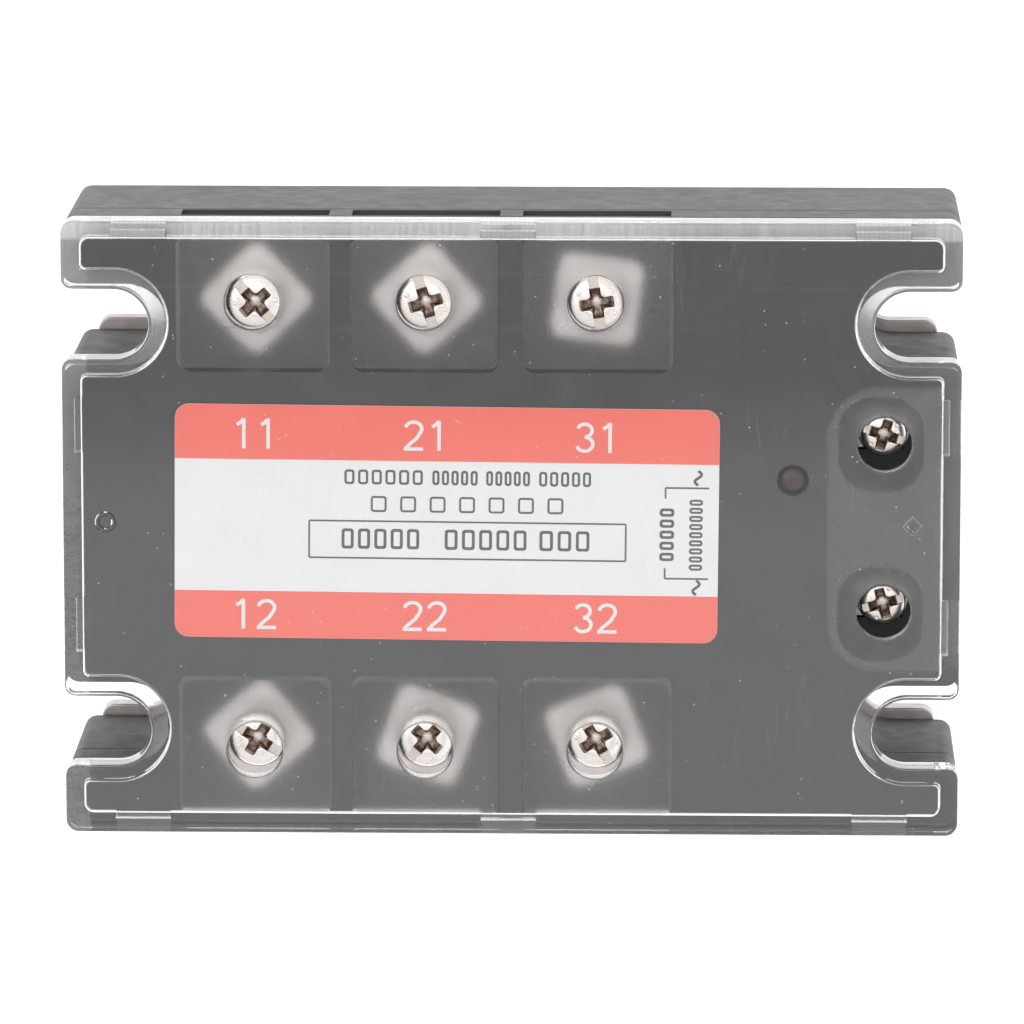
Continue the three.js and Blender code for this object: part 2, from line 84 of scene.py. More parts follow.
# Open slots at the ends of the long sides: centre line, half width, place of the inner end
PLATE_SLOT = (23.77, 3.45, 41.4)
CASE_SLOT = (23.75, 4.8, 40.3)
COVER_SLOT = (24.2, 4.15, 42.3)
PLATE_INSET = 2.05

# Terminals
PHASES = (1, 2, 3)
ROWS = {"top": 1, "bottom": -1}
INPUTS = {"plus": 1, "minus": -1}
BAY_HALF = 8.67
BAY_INNER = 18.4
BAY_CORNER = 1.5
WELL_CORNER = 4
BAY_SILL_TOP = 23.3
BAY_LINTEL_BOTTOM = 27.7
# An input well's left, right and half width, and its wire entry's half width and top
INPUT_WELL = (38.2, 48.2, 5.6)
INPUT_ENTRY = (4.2, 27.5)
LAMP_HOLE_RADIUS = 1.85
BASE_SCREW_HOLE = 1.7
HOLE_RADIUS = 3.2
SLOT_HALF = 0.6

# How far each clamp and each screw is turned about its own axis, in degrees
TERMINAL_TURNS = {
    "output_top_1": (45, -48), "output_top_2": (42, -73), "output_top_3": (-8, -81),
    "output_bottom_1": (40, -32), "output_bottom_2": (-20, 48), "output_bottom_3": (22, -59),
    "input_plus": (12, -17), "input_minus": (-9, 15),
}

# Small marks moulded in the cover's underside, and the cover's driver holes
ROUND_MARK = (-47.6, 0.6)
DIAMOND_MARK = (46.9, 0.5)
COVER_SHIFT = (-0.05, 0.3)
OUTPUT_HOLE_Y = 26.63
INPUT_HOLE_Y = 9.97

# Snap ribs round the deck's edge, and the cover's grooves over them
RIB_HALF = 3.0
RIB_LOW = 28.9
RIB_HIGH = 30.1
RIB_PROUD = 0.8
RIB_PLACES_X = (-43.5, -0.4, 43.3)
RIB_PLACES_Y = (12, -11.8)

PHASE_X = [middle_mm(f"output_terminal_top_{i}").x for i in PHASES]
OUTPUT_Y = middle_mm("output_screw_top_1").y
INPUT_X = middle_mm("input_screw_plus").x
INPUT_Y = middle_mm("input_screw_plus").y
LAMP = middle_mm("status_led")
LABEL_LOW = low_mm("label")
LABEL_HIGH = high_mm("label")
LABEL_LENGTH = 63.75
LABEL_WIDTH = 27.8
LABEL_TURN = math.radians(-0.5)
# Strokes that cross are printed at slightly different heights
INK_STEP = 0.003

# The cover's frosted zones: left and right over each pair of bays, then the rows' inner edges
FROST_BAYS = ((-39.1, -21.2), (-18.7, -1.5), (1.3, 18.8))
FROST_TOP_EDGE = 18.95
FROST_BOTTOM_EDGE = -17.8
FROST_INPUTS = (36.8, -17, 16.9)

CAMERA_LENS = 278.07
CAMERA_SENSOR = 36
CAMERA_PLACE = (23.607, 169.884, 941.698)
CAMERA_TURN = (("Z", -0.0003), ("Y", 0.0258), ("X", -0.1824))
SKY, SKY_BOX, SKY_DARK = 0.98, 0.38, 0.58


# ---------------------------------------------------------------- outlines


def rounded(corners):
    """Points of an anticlockwise outline whose corners are (x, y, radius, steps)."""
    points = []
    for i, (x, y, radius, steps) in enumerate(corners):
        here = Vector((x, y))
        back = (Vector(corners[i - 1][:2]) - here).normalized()
        ahead = (Vector(corners[(i + 1) % len(corners)][:2]) - here).normalized()
        half = back.angle(ahead) / 2
        centre = here + (back + ahead).normalized() * (radius / math.sin(half))
        start = here + back * (radius / math.tan(half)) - centre
        sweep = math.pi - 2 * half
        if back.x * ahead.y - back.y * ahead.x > 0:
            sweep = -sweep
        for step in range(steps + 1):
            turned = Matrix.Rotation(sweep * step / steps, 2) @ start
            points.append(centre + turned)
    return [(p.x, p.y) for p in points]


def rectangle(left, right, front, back, radius, steps=5):
    radius = max(radius, SMALLEST)
    return rounded([(left, front, radius, steps), (right, front, radius, steps),
                    (right, back, radius, steps), (left, back, radius, steps)])


def circle(x, y, radius, steps=48):
    angles = [2 * math.pi * i / steps for i in range(steps)]
    return [(x + radius * math.cos(a), y + radius * math.sin(a)) for a in angles]


def slotted(half_x, half_y, slot, corner, mouth, inset=0.0):
    """A rectangle with an open slot at both ends of each long side. inset moves the whole outline inwards."""
    y, half, end = slot
    half_x, half_y, half, end = half_x - inset, half_y - inset, half + inset, end - inset
    corner, mouth = max(corner - inset, SMALLEST), max(mouth - inset, SMALLEST)
    quarter = [(half_x, y - half, mouth, 5), (end, y - half, half, 14), (end, y + half, half, 14),
               (half_x, y + half, mouth, 5), (half_x, half_y, corner, 6)]

    def mirrored(sign_x, sign_y):
        return [(sign_x * px, sign_y * py, radius, steps) for px, py, radius, steps in quarter]

    return rounded(mirrored(1, 1) + mirrored(-1, 1)[::-1] + mirrored(-1, -1) + mirrored(1, -1)[::-1])


def wider(slot, extra):
    return (slot[0], slot[1] + extra, slot[2] - extra)


# ---------------------------------------------------------------- meshes


class Skin:
    """A closed mesh made of rings of points, with walls between the rings and flat caps."""

    def __init__(self):
        self.mesh = bmesh.new()

    def ring(self, points, z=None):
        placed = points if z is None else [(x, y, z) for x, y in points]
        return [self.mesh.verts.new(Vector(p) * MM) for p in placed]

    def join(self, low, high):
        for i, corner in enumerate(low):
            j = (i + 1) % len(low)
            self.mesh.faces.new((corner, low[j], high[j], high[i]))

    def walls(self, levels):
        """Walls through (points, height) levels. Returns the first and the last ring."""
        rings = [self.ring(points, z) for points, z in levels]
        for low, high in zip(rings, rings[1:]):
            self.join(low, high)
        return rings[0], rings[-1]

    def lid(self, ring):
        self.mesh.faces.new(ring)

    def cap(self, *rings):
        """A flat face inside the first ring, with the others as its holes."""
        corners = [v for ring in rings for v in ring]
        for triangle in tessellate_polygon([[v.co / MM for v in ring] for ring in rings]):
            self.mesh.faces.new([corners[k] for k in triangle])

    def done(self):
        bmesh.ops.recalc_face_normals(self.mesh, faces=self.mesh.faces)
        mesh = bpy.data.meshes.new("shape")
        self.mesh.to_mesh(mesh)
        self.mesh.free()
        return mesh


def prism(outline, low, high):
    skin = Skin()
    first, last = skin.walls([(outline, low), (outline, high)])
    skin.lid(first)
    skin.lid(last)
    return skin.done()


def block(left, right, front, back, low, high):
    return prism([(left, front), (right, front), (right, back), (left, back)], low, high)


def side_block(side, left, right, near, far, low, high):
    front, back = (near, far) if side > 0 else (-far, -near)
    return block(left, right, front, back, low, high)


def edge_levels(outline, low, high, low_edge, high_edge, steps=4):
    """Levels of an upright wall with both edges rounded. outline(inset) gives its points."""
    levels = []
    for i in range(steps + 1):
        angle = math.pi / 2 * i / steps
        levels.append((outline(low_edge * (1 - math.sin(angle))), low + low_edge * (1 - math.cos(angle))))
    for i in range(steps + 1):
        angle = math.pi / 2 * i / steps
        levels.append((outline(high_edge * (1 - math.cos(angle))), high - high_edge * (1 - math.sin(angle))))
    return levels


def plate(outline, low, high, edge, holes=()):
    """A flat plate with rounded edges. Each hole is a list of levels."""
    skin = Skin()
    contours = [skin.walls(edge_levels(outline, low, high, edge, edge, 3))]
    contours += [skin.walls(hole) for hole in holes]
    skin.cap(*[first for first, last in contours])
    skin.cap(*[last for first, last in contours])
    return skin.done()


def shaped(blank, add=(), cut=()):
    """The blank with some meshes joined to it, and others then cut out of it."""
    target = bpy.data.objects.new("blank", blank)
    bpy.context.scene.collection.objects.link(target)
    tools = []
    for operation, parts in (("UNION", add), ("DIFFERENCE", cut)):
        for part in parts:
            tool = bpy.data.objects.new("tool", part)
            bpy.context.scene.collection.objects.link(tool)
            modifier = target.modifiers.new(operation, "BOOLEAN")
            modifier.operation = operation
            modifier.solver = "EXACT"
            modifier.object = tool
            tools.append(tool)
    depsgraph = bpy.context.evaluated_depsgraph_get()
    result = bpy.data.meshes.new_from_object(target.evaluated_get(depsgraph))
    for leftover in [target, *tools]:
        bpy.data.objects.remove(leftover)
    return result


def piece(name, mesh, material, body, slot, replaced=(), place=None):
    """A finished mesh as a piece of the relay."""
    made = bpy.data.objects.new(name, mesh)
    bpy.context.scene.collection.objects.link(made)
    if place is not None:
        made.matrix_world = place
    mesh.materials.clear()
    mesh.materials.append(material)
    mesh.shade_smooth()
    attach(made, body)
    if replaced:
        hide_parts(*replaced)
    return made


def soften(made, width, segments=2):
    """Rounds the sharp edges, and keeps flat faces flat to the eye."""
    if width:
        bevel = made.modifiers.new("bevel", "BEVEL")
        bevel.width = width * MM
        bevel.segments = segments
        bevel.limit_method = "ANGLE"
        bevel.angle_limit = math.radians(35)
    else:
        made.data.set_sharp_from_angle(angle=math.radians(35))
    level = made.modifiers.new("normals", "WEIGHTED_NORMAL")
    level.keep_sharp = not width
    level.weight = 100
    return made


# ---------------------------------------------------------------- finishes


class Graph:
    """Makes and links the nodes of one tree."""

    def __init__(self, tree):
        self.tree = tree

    def node(self, kind, inputs=None, **settings):
        made = self.tree.nodes.new(kind)
        for key, value in settings.items():
            setattr(made, key, value)
        for key, value in (inputs or {}).items():
            if isinstance(value, bpy.types.NodeSocket):
                self.tree.links.new(value, made.inputs[key])
            else:
                made.inputs[key].default_value = value
        return made

    def math(self, operation, *values):
        return self.node("ShaderNodeMath", dict(enumerate(values)), operation=operation).outputs[0]

    def times(self, a, b):
        return self.math("MULTIPLY", a, b)

    def most(self, a, b):
        return self.math("MAXIMUM", a, b)

    def spread(self, value, low, high, to_low=0.0, to_high=1.0, easing="LINEAR"):
        inputs = {"Value": value, "From Min": low, "From Max": high, "To Min": to_low, "To Max": to_high}
        made = self.node("ShaderNodeMapRange", inputs, clamp=True, interpolation_type=easing)
        return made.outputs["Result"]


class Paint(Graph):
    """A Principled material with the nodes that drive it. Sizes are in millimetres on the piece."""

    def __init__(self, name, **sockets):
        self.material = bpy.data.materials.new(name)
        self.material.use_nodes = True
        super().__init__(self.material.node_tree)
        self.shader = self.tree.nodes["Principled BSDF"]
        self.output = self.tree.nodes["Material Output"]
        for socket, value in sockets.items():
            self.drive(socket.replace("_", " "), value)
        self.place = self.node("ShaderNodeTexCoord").outputs["Object"]

    def drive(self, socket, value):
        target = self.shader.inputs[socket]
        if isinstance(value, bpy.types.NodeSocket):
            self.tree.links.new(value, target)
        elif isinstance(value, tuple) and len(value) == 3 and target.type == "RGBA":
            target.default_value = (*value, 1)
        else:
            target.default_value = value

    def spaced(self, size, stretch=(1, 1, 1), seed=0.0):
        """The piece's coordinates, one unit for each size along each axis."""
        scale = [1 / (size * MM * s) for s in stretch]
        shift = (seed * 1.7, seed * 2.9, seed * 4.3)
        mapping = self.node("ShaderNodeMapping", {"Vector": self.place, "Scale": scale, "Location": shift})
        return mapping.outputs["Vector"]

    def noise(self, size, detail=2.0, roughness=0.5, stretch=(1, 1, 1), seed=0.0):
        inputs = {"Vector": self.spaced(size, stretch, seed), "Scale": 1, "Detail": detail,
                  "Roughness": roughness}
        return self.node("ShaderNodeTexNoise", inputs).outputs["Fac"]

    def cells(self, size, seed=0.0):
        inputs = {"Vector": self.spaced(size, seed=seed), "Scale": 1, "Randomness": 1}
        return self.node("ShaderNodeTexVoronoi", inputs).outputs["Distance"]

    def mix(self, factor, a, b):
        made = self.node("ShaderNodeMix", data_type="RGBA")
        for index, value in ((0, factor), (6, a), (7, b)):
            if isinstance(value, bpy.types.NodeSocket):
                self.tree.links.new(value, made.inputs[index])
            elif isinstance(value, tuple):
                made.inputs[index].default_value = (*value, 1)
            else:
                made.inputs[index].default_value = value
        return made.outputs[2]

    def axis(self, name):
        return self.node("ShaderNodeSeparateXYZ", {0: self.place}).outputs[name]

    def bump(self, height, depth, strength=1.0):
        inputs = {"Height": height, "Distance": depth * MM, "Strength": strength}
        linked = self.shader.inputs["Normal"].links
        if linked:
            inputs["Normal"] = linked[0].from_socket
        self.drive("Normal", self.node("ShaderNodeBump", inputs).outputs["Normal"])

    def scratches(self, size, count_cut, seed):
        """Thin lines in one direction: 1 on a scratch and 0 elsewhere."""
        lines = self.noise(size, 1, 0.4, (1, 14, 1), seed)
        patches = self.spread(self.noise(size * 9, 1, seed=seed + 3), 0.5, 0.62)
        near = self.math("ABSOLUTE", self.math("SUBTRACT", lines, 0.5))
        return self.times(self.spread(near, count_cut, count_cut * 0.3), patches)


def black_plastic():
    paint = Paint("black_plastic", Specular_IOR_Level=0.5)
    cloud = paint.noise(11, 3)
    body = paint.mix(cloud, (0.040, 0.040, 0.041), (0.056, 0.056, 0.057))
    dust = paint.spread(paint.noise(0.45, 5, 0.62, seed=3), 0.68, 0.80, 0, 0.22)
    body = paint.mix(dust, body, (0.30, 0.29, 0.28))
    scuff = paint.times(paint.scratches(2.6, 0.008, 8), 0.10)
    paint.drive("Base Color", paint.mix(scuff, body, (0.22, 0.22, 0.22)))
    paint.drive("Roughness", paint.spread(paint.noise(2.2, 4, seed=1), 0.3, 0.7, 0.44, 0.56))
    paint.bump(paint.noise(0.22, 2, 0.5), 0.0025)
    return paint.material


def frost_zones(paint):
    """1 where the cover's underside is frosted over the terminals, and 0 elsewhere."""
    inner_y = HALF_Y - COVER_WALL
    zones = []
    for left, right in FROST_BAYS:
        zones.append((left, right, FROST_TOP_EDGE, inner_y, 1.0))
        zones.append((left, right, -inner_y, FROST_BOTTOM_EDGE, 1.0))
    input_left, input_front, input_back = FROST_INPUTS
    zones.append((input_left, HALF_X - COVER_WALL + 6, input_front, input_back, 6.2))
    masks = []
    for left, right, front, back, radius in zones:
        middle = (-(left + right) / 2 * MM, -(front + back) / 2 * MM, 0)
        half = ((right - left) / 2 - radius, (back - front) / 2 - radius)
        shifted = paint.node("ShaderNodeVectorMath", {0: paint.place, 1: middle}, operation="ADD")
        away = paint.node("ShaderNodeVectorMath", {0: shifted.outputs[0]}, operation="ABSOLUTE")
        sides = {0: away.outputs[0], 1: (half[0] * MM, half[1] * MM, 1)}
        past = paint.node("ShaderNodeVectorMath", sides, operation="SUBTRACT")
        kept = paint.node("ShaderNodeVectorMath", {0: past.outputs[0], 1: (0, 0, 0)}, operation="MAXIMUM")
        far = paint.node("ShaderNodeVectorMath", {0: kept.outputs[0]}, operation="LENGTH").outputs["Value"]
        soft = 0.45 if radius > 2 else 0.08
        masks.append(paint.spread(far, (radius + soft) * MM, (radius - soft) * MM))
    mask = masks[0]
    for other in masks[1:]:
        mask = paint.most(mask, other)
    under = paint.spread(paint.axis("Z"), (COVER_UNDERSIDE + 0.06) * MM, (COVER_UNDERSIDE + 0.03) * MM)
    mark_x, mark_y = DIAMOND_MARK
    beside = paint.math("ABSOLUTE", paint.math("SUBTRACT", paint.axis("X"), mark_x * MM))
    beyond = paint.math("ABSOLUTE", paint.math("SUBTRACT", paint.axis("Y"), mark_y * MM))
    outside = paint.spread(paint.math("ADD", beside, beyond), 0.9 * MM, 1.1 * MM)
    return paint.times(paint.times(mask, under), outside)


def rim_haze_and_painted_light(paint):
    """How milky the cover's rim is, ribbed at the snap windows. Its extra milkiness at the +Y end, along the
    left side and in the +Y windows is painted light that lightens those walls.
    """
    under = paint.spread(paint.axis("Z"), (SKIRT_BOTTOM + 0.30) * MM, (SKIRT_BOTTOM + 0.20) * MM)
    along = paint.spread(paint.axis("Y"), -6 * MM, HALF_Y * MM)
    # Painted light: the haze grows towards the +Y end, with more again on the +Y wall, so that wall looks
    # lit.
    painted_backlight_climb = paint.math("POWER", along, 2.2)
    far = paint.spread(paint.axis("Y"), (HALF_Y - 2.7) * MM, (HALF_Y - 2.3) * MM)
    streaks = paint.spread(paint.noise(0.5, 3, 0.6, (1, 12, 12), 21), 0.3, 0.7, 0.75, 1.15)
    mottle = paint.spread(paint.noise(0.6, 4, 0.6, (3, 1, 3), 22), 0.3, 0.7, 0.7, 1.3)
    wall = paint.math("ADD", paint.times(painted_backlight_climb, 0.22), paint.times(far, 0.30))
    wall = paint.times(wall, streaks)
    # Painted light: a little more haze along the left wall lightens it.
    left = paint.spread(paint.axis("X"), (-HALF_X + 2.9) * MM, (-HALF_X + 2.5) * MM)
    wall = paint.math("ADD", wall, paint.times(paint.times(left, 0.09), mottle))
    wall = paint.math("ADD", wall, 0.005)
    windows = None
    for axis, places in (("X", RIB_PLACES_X), ("Y", RIB_PLACES_Y)):
        across, edge = ("Y", HALF_Y) if axis == "X" else ("X", HALF_X)
        reach = paint.spread(paint.math("ABSOLUTE", paint.axis(across)), (edge - 2.7) * MM, (edge - 2.5) * MM)
        ribs = paint.math("SINE", paint.times(paint.axis(axis), 2 * math.pi / (0.55 * MM)))
        ribs = paint.spread(ribs, -1, 1, 0.055, 0.085)
        for at in places:
            away = paint.math("ABSOLUTE", paint.math("SUBTRACT", paint.axis(axis), at * MM))
            inside = paint.spread(away, (RIB_HALF + 0.25) * MM, (RIB_HALF + 0.1) * MM)
            window = paint.times(paint.times(inside, reach), ribs)
            windows = window if windows is None else paint.most(windows, window)
    # Painted light: the windows on the +Y wall are made much milkier, so they look lit.
    windows = paint.math("ADD", windows, paint.times(paint.times(far, 4), windows))
    ceiling = paint.spread(paint.axis("Z"), (RIB_HIGH + 0.40) * MM, (RIB_HIGH + 0.30) * MM)
    windows = paint.times(windows, ceiling)
    return paint.most(paint.times(under, wall), windows)


def clear_plastic():
    """Polished plastic with frosted zones, fine scratches and dust, and a milky rim that is partly painted
    light. Light reaches what is under it.
    """
    paint = Paint("clear_plastic", Base_Color=(0.985, 0.99, 0.99), IOR=1.52)
    frost = frost_zones(paint)
    scratch = paint.most(paint.scratches(2.2, 0.004, 2), paint.scratches(1.3, 0.004, 11))
    speck = paint.spread(paint.cells(1.3, 4), 0.085, 0.050)
    chosen = paint.spread(paint.noise(3, 3, 0.6, seed=9), 0.50, 0.56)
    speck = paint.times(speck, chosen)
    marks = paint.most(paint.times(scratch, 0.045), paint.times(speck, 0.5))
    polish = paint.spread(paint.noise(7, 2, seed=5), 0.3, 0.7, 0.025, 0.06)
    grain = paint.spread(paint.noise(0.28, 3, 0.7, seed=12), 0.50, 0.66)
    # The rim's milkiness is partly painted light, which lightens the +Y and left walls.
    rim = rim_haze_and_painted_light(paint)
    rough = paint.most(polish, paint.times(frost, 0.42))
    rough = paint.most(rough, paint.math("MINIMUM", paint.times(rim, 3), 0.4))
    paint.drive("Roughness", paint.most(rough, paint.times(marks, 0.4)))
    sparkle = paint.times(paint.times(frost, grain), 0.06)
    # Haze from frost grain, scratches and dust, and from the rim, where it is partly painted light.
    haze_and_painted_light = paint.most(paint.most(sparkle, rim), marks)
    paint.drive("Transmission Weight", paint.math("SUBTRACT", 1, haze_and_painted_light))
    paint.bump(paint.noise(18, 1, seed=6), 0.02, 0.5)
    paint.bump(paint.times(paint.noise(0.3, 2, seed=7), frost), 0.02)
    path = paint.node("ShaderNodeLightPath")
    passing = paint.most(path.outputs["Is Shadow Ray"], path.outputs["Is Diffuse Ray"])
    through = paint.node("ShaderNodeBsdfTransparent", {"Color": (0.93, 0.93, 0.93, 1)})
    both = {0: passing, 1: paint.shader.outputs[0], 2: through.outputs[0]}
    mixed = paint.node("ShaderNodeMixShader", both)
    paint.tree.links.new(mixed.outputs[0], paint.output.inputs["Surface"])
    return paint.material


def metal(name, color, stain, roughness, brush=(1, 1, 1), grain=0.2, depth=0.004):
    """A worked metal: uneven tone, fine lines or grain, and small marks."""
    paint = Paint(name, Metallic=1.0)
    patch = paint.spread(paint.noise(1.8, 3), 0.35, 0.7)
    body = paint.mix(patch, color, stain)
    nick = paint.spread(paint.noise(0.35, 4, 0.6, seed=5), 0.70, 0.80, 0, 0.25)
    paint.drive("Base Color", paint.mix(nick, body, tuple(c * 0.55 for c in color)))
    lines = paint.noise(grain, 3, 0.6, brush, 2)
    low, high = roughness
    paint.drive("Roughness", paint.spread(lines, 0.3, 0.7, low, high))
    paint.bump(lines, depth)
    return paint


def nickel_screw():
    """Bright plating, a little darker in the slot, and dark brown towards the bottom of the driver recess."""
    paint = metal("nickel_screw", (0.95, 0.895, 0.865), (0.89, 0.835, 0.80), (0.24, 0.34))
    across = paint.node("ShaderNodeVectorMath", {0: paint.place, 1: (1, 1, 0)}, operation="MULTIPLY")
    radius = paint.node("ShaderNodeVectorMath", {0: across.outputs[0]}, operation="LENGTH").outputs["Value"]
    face = paint.shader.inputs["Base Color"].links[0].from_socket
    slot = paint.spread(paint.math("ABSOLUTE", paint.axis("Y")), 0.70 * MM, 0.60 * MM)
    slot = paint.times(slot, paint.spread(paint.axis("Z"), -0.20 * MM, -0.36 * MM))
    slot = paint.times(slot, paint.spread(paint.axis("Z"), -1.2 * MM, -1.0 * MM))
    slot_darker = paint.mix(slot, face, (0.70, 0.63, 0.585))
    # Dark brown towards the bottom of the driver recess, less so at its very middle.
    inside = paint.spread(radius, 2.35 * MM, 2.1 * MM)
    clean = paint.spread(radius, 0.25 * MM, 0.75 * MM, 0.35, 1.0)
    deep = paint.spread(paint.axis("Z"), -0.50 * MM, -0.62 * MM)
    recess_darker = paint.times(paint.times(inside, clean), deep)
    recess_darker = paint.times(recess_darker, paint.spread(paint.noise(0.5, 3, seed=4), 0.35, 0.6, 0.7, 1.0))
    paint.drive("Base Color", paint.mix(recess_darker, slot_darker, (0.20, 0.135, 0.095)))
    return paint.material


def film(name, color, roughness=(0.36, 0.46), specular=0.45):
    """Printed or laminated film with a faint print grain."""
    paint = Paint(name, Specular_IOR_Level=specular)
    tone = paint.spread(paint.noise(6, 3), 0.3, 0.7)
    paint.drive("Base Color", paint.mix(tone, tuple(c * 0.965 for c in color), color))
    paint.drive("Roughness", paint.spread(paint.noise(1.2, 2), 0.3, 0.7, *roughness))
    paint.bump(paint.noise(0.25, 2), 0.003)
    return paint.material


def lamp_lens():
    paint = Paint("lamp_lens", Coat_Weight=0.25, Coat_Roughness=0.06, IOR=1.4)
    paint.drive("Base Color", paint.mix(paint.noise(0.8, 2), (0.014, 0.004, 0.011), (0.036, 0.010, 0.024)))
    paint.drive("Roughness", paint.spread(paint.noise(0.6, 2), 0.3, 0.7, 0.12, 0.25))
    return paint.material


def moulded(name, color, roughness, size, depth=0.006, speckle=None):
    """Moulded, fired, sleeved or lacquered matter for the pieces inside the case."""
    paint = Paint(name)
    tone = paint.noise(size * 8, 3)
    body = paint.mix(tone, tuple(c * 0.85 for c in color), color)
    if speckle:
        body = paint.mix(paint.spread(paint.noise(size, 3, seed=2), 0.6, 0.7), body, speckle)
    paint.drive("Base Color", body)
    paint.drive("Roughness", paint.spread(paint.noise(size * 2, 2, seed=1), 0.3, 0.7, *roughness))
    paint.bump(paint.noise(size, 2), depth)
    return paint.material


BLACK = black_plastic()
CLEAR = clear_plastic()
NICKEL_SCREW = nickel_screw()
NICKEL = metal("nickel_plate", (0.72, 0.665, 0.65), (0.64, 0.585, 0.565), (0.30, 0.46)).material
SPRING = metal("spring_steel", (0.62, 0.58, 0.56), (0.50, 0.46, 0.44), (0.22, 0.38)).material
ROLLED = metal("plate_metal", (0.60, 0.545, 0.535), (0.48, 0.435, 0.425), (0.30, 0.48), (14, 1, 1), 0.35,
               0.006).material
TINNED = metal("tinned_copper", (0.62, 0.56, 0.52), (0.50, 0.44, 0.40), (0.35, 0.5)).material
LABEL_WHITE = film("label_white", (0.88, 0.875, 0.885))
LABEL_CORAL = film("label_coral", (0.96, 0.175, 0.135))
LABEL_INK = film("label_ink", (0.10, 0.10, 0.105), (0.5, 0.6))
LABEL_PALE_INK = film("label_pale_ink", (0.86, 0.84, 0.84), (0.5, 0.6))
LENS = lamp_lens()


# ---------------------------------------------------------------- case


def rib_blocks(half_length, deep, shallow, low, high):
    """Blocks along the case's edge between two depths from its outer face."""
    made = []
    for side in (-1, 1):
        for x in RIB_PLACES_X:
            made.append(side_block(side, x - half_length, x + half_length,
                                   HALF_Y - deep, HALF_Y - shallow, low, high))
        for y in RIB_PLACES_Y:
            near, far = HALF_X - deep, HALF_X - shallow
            left, right = (near, far) if side > 0 else (-far, -near)
            made.append(block(left, right, y - half_length, y + half_length, low, high))
    return made


def base_plate():
    half_x, half_y = HALF_X - PLATE_INSET, HALF_Y - PLATE_INSET

    def outline(inset):
        return slotted(half_x, half_y, PLATE_SLOT, CORNER, CORNER, inset)

    sinks = []
    for number in range(1, 5):
        at = middle_mm(f"base_screw_{number}")
        bore = circle(at.x, at.y, BASE_SCREW_HOLE)
        sinks.append([(circle(at.x, at.y, 3.1), 0), (bore, 1.8), (bore, PLATE_TOP)])
    mesh = plate(outline, 0, PLATE_TOP, 0.2, sinks)
    soften(piece("rolled_base_plate", mesh, ROLLED, "housing", "plate_metal", ["base_plate"]), 0)


def lower_housing():
    outer = slotted(HALF_X, HALF_Y, CASE_SLOT, CORNER, CORNER)
    inner = slotted(HALF_X - CASE_WALL, HALF_Y - CASE_WALL, wider(CASE_SLOT, CASE_WALL), 1, 0.1)
    shell = shaped(prism(outer, LOWER_BOTTOM, LOWER_TOP), cut=[prism(inner, LOWER_BOTTOM - 1, LOWER_TOP + 1)])
    reach_x, reach_y = HALF_X - CASE_WALL + 0.5, HALF_Y - CASE_WALL + 0.5
    add = [side_block(side, -41, 20.8, 17, reach_y, 18.5, LOWER_TOP) for side in ROWS.values()]
    add.append(block(36.2, reach_x, -16.5, 16.5, 17, 20.3))
    cut = []
    for number in range(1, 5):
        at = middle_mm(f"base_screw_{number}")
        left, right = (at.x - 4, reach_x) if at.x > 0 else (-reach_x, at.x + 4)
        add.append(block(left, right, at.y - 4, at.y + 4, LOWER_BOTTOM, 11.5))
        cut.append(prism(circle(at.x, at.y, BASE_SCREW_HOLE, 24), LOWER_BOTTOM - 1, 9))
    for side in ROWS.values():
        for x in PHASE_X:
            cut.append(side_block(side, x - 3.3, x + 3.3, OUTPUT_Y - 4.4, OUTPUT_Y + 3.8, 21, LOWER_TOP + 1))
            cut.append(side_block(side, x - 3.3, x + 3.3, OUTPUT_Y - 4.4, OUTPUT_Y - 2.6, 17, 22))
            cut.append(prism(circle(x, side * OUTPUT_Y, 2.5, 32), 17, 22))
    for side in INPUTS.values():
        y = side * INPUT_Y
        cut.append(block(INPUT_X - 3.4, INPUT_X + 2.4, y - 2.5, y + 2.5, 19.3, 21))
        cut.append(block(INPUT_X - 3.4, INPUT_X - 1.6, y - 2.5, y + 2.5, 16, 20))
        cut.append(prism(circle(INPUT_X, y, 2.0, 32), 16, 20))
    mesh = shaped(shell, add, cut)
    soften(piece("lower_case", mesh, BLACK, "housing", "black_plastic", ["lower_housing"]), 0.25)


